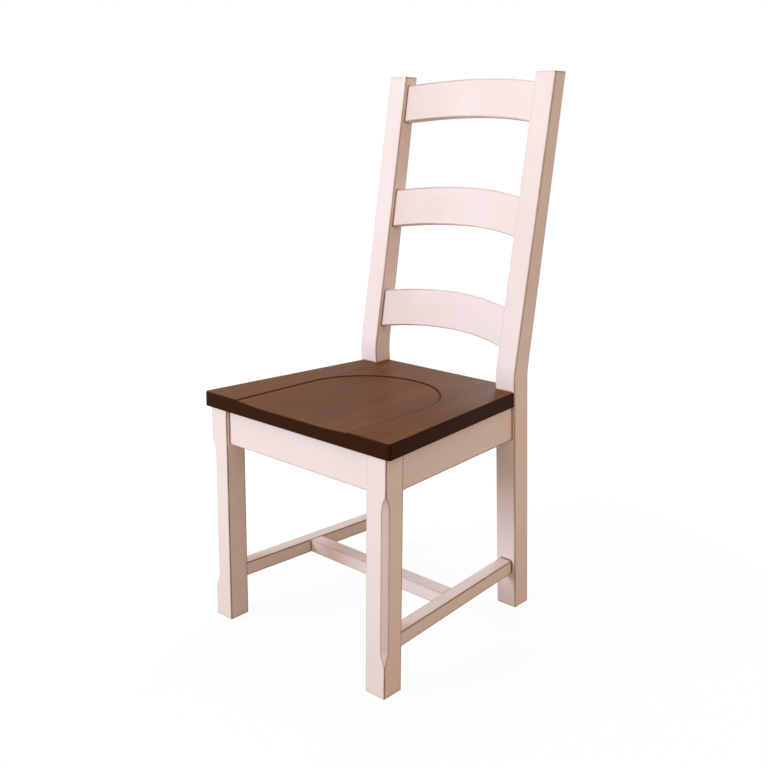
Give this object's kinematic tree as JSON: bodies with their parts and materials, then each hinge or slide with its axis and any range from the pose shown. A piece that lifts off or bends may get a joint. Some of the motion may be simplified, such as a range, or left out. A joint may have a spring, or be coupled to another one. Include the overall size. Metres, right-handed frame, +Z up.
{
  "type": "ladderback chair",
  "caption": "Wooden dining chair with a tall slatted back of bowed, arched slats, bent rear posts, a scooped solid seat and an H of stretchers between square legs.",
  "frame": {"origin": "on the floor, in the middle of the chair's width and depth", "axes": "+Z up, -Y the way the sitter faces (front of the seat), +X to the right as seen from the front; the chair is the same on both sides of X = 0"},
  "size_m": [0.4758, 0.5475, 1.062],
  "materials": {
    "painted_wood": "satin off-white paint with a brown glaze on the edges and in the joints",
    "stained_wood": "dark walnut stain under a satin lacquer",
    "block_wood": "bare planed softwood",
    "screw_steel": "plain zinc-plated steel"
  },
  "bodies": {
    "root": {"front_leg_left": "painted_wood", "front_leg_right": "painted_wood", "rear_post_left": "painted_wood", "rear_post_right": "painted_wood", "slat_lower": "painted_wood", "slat_middle": "painted_wood", "slat_top": "painted_wood", "apron_front": "painted_wood", "apron_back": "painted_wood", "apron_left": "painted_wood", "apron_right": "painted_wood", "side_stretcher_left": "painted_wood", "side_stretcher_right": "painted_wood", "cross_stretcher": "painted_wood", "seat": "stained_wood", "corner_block_front_left": "block_wood", "corner_block_front_right": "block_wood", "corner_block_rear_left": "block_wood", "corner_block_rear_right": "block_wood", "seat_screws": "screw_steel"}
  },
  "joints": []
}
